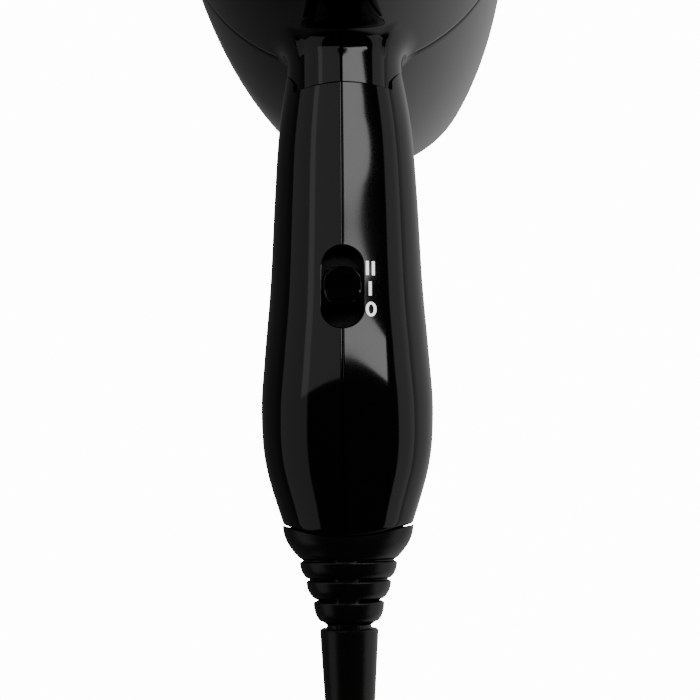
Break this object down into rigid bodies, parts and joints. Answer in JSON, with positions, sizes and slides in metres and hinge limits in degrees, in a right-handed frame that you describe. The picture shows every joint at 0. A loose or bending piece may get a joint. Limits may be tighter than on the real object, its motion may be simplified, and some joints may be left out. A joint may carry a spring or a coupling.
{
  "type": "folding travel hair dryer",
  "caption": "Compact black hair dryer with a bullet-shaped barrel and a waisted handle that folds under it; slide switch, ringed cord boot, coiled lead with plug.",
  "frame": {"origin": "centre of the outlet's rim, on the surface that the dryer stands on", "axes": "+Z along the barrel from the outlet to the air inlet, -Y along the open handle to the cord, +X to the right as seen from behind with the handle down"},
  "size_m": [0.0926, 0.3759, 0.157],
  "materials": {
    "gloss_black": "high gloss moulded plastic",
    "satin_black": "satin flexible PVC",
    "inner_black": "matte heat resistant plastic",
    "steel": "bright steel",
    "heater_wire": "oxidised resistance wire",
    "mica": "pressed mica sheet",
    "brass": "plain brass",
    "magnet": "ferrite",
    "copper": "enamelled copper windings",
    "board": "printed circuit board",
    "fan_plastic": "natural plastic",
    "cap_yellow": "film capacitor",
    "wire_red": "insulated wire",
    "wire_blue": "insulated wire",
    "nickel": "nickel plated"
  },
  "bodies": {
    "handle": {"handle_left": "gloss_black", "handle_right": "gloss_black", "hinge_stub_left": "steel", "hinge_stub_right": "steel", "hinge_spring_washer": "steel", "handle_screws": "steel", "switch_body": "inner_black", "switch_terminals": "brass", "suppressor_capacitor": "cap_yellow", "handle_wires": "wire_blue", "cord_clamp": "inner_black", "clamp_screws": "steel", "ring_boot": "satin_black", "cord_sleeve": "satin_black", "cord_tail": "satin_black", "cord_run": "satin_black", "cord_coil": "satin_black", "plug_lead": "satin_black", "cord_tie": "inner_black", "plug_body": "satin_black", "plug_pins": "nickel"},
    "head": {"front_barrel": "gloss_black", "rear_housing": "gloss_black", "inlet_grille": "gloss_black", "inlet_mesh": "steel", "outlet_grille": "inner_black", "heat_shield_tube": "steel", "mica_boards": "mica", "heater_coils": "heater_wire", "thermostat": "brass", "thermal_fuse": "steel", "motor_can": "steel", "motor_end_cap": "inner_black", "motor_magnets": "magnet", "motor_bushes": "brass", "motor_carrier": "inner_black", "rectifier_board": "board", "rectifier_diodes": "inner_black", "head_wires": "wire_red", "neck_screws": "steel"},
    "fan": {"fan_impeller": "fan_plastic", "motor_shaft": "steel", "motor_rotor": "copper"},
    "switch_slider": {"switch_knob": "gloss_black", "switch_carriage": "inner_black"}
  },
  "joints": [
    {"name": "fold", "type": "hinge", "parent": "handle", "child": "head", "pos_m": [0, -0.055, 0.104], "axis": [-1, 0, 0], "range_deg": [0, 90]},
    {"name": "fan_spin", "type": "hinge", "parent": "head", "child": "fan", "pos_m": [0, 0, 0.129], "axis": [0, 0, 1], "continuous": true},
    {"name": "speed_switch", "type": "slide", "parent": "handle", "child": "switch_slider", "axis": [0, 1, 0], "range_m": [-0.0044, 0.0044]}
  ]
}
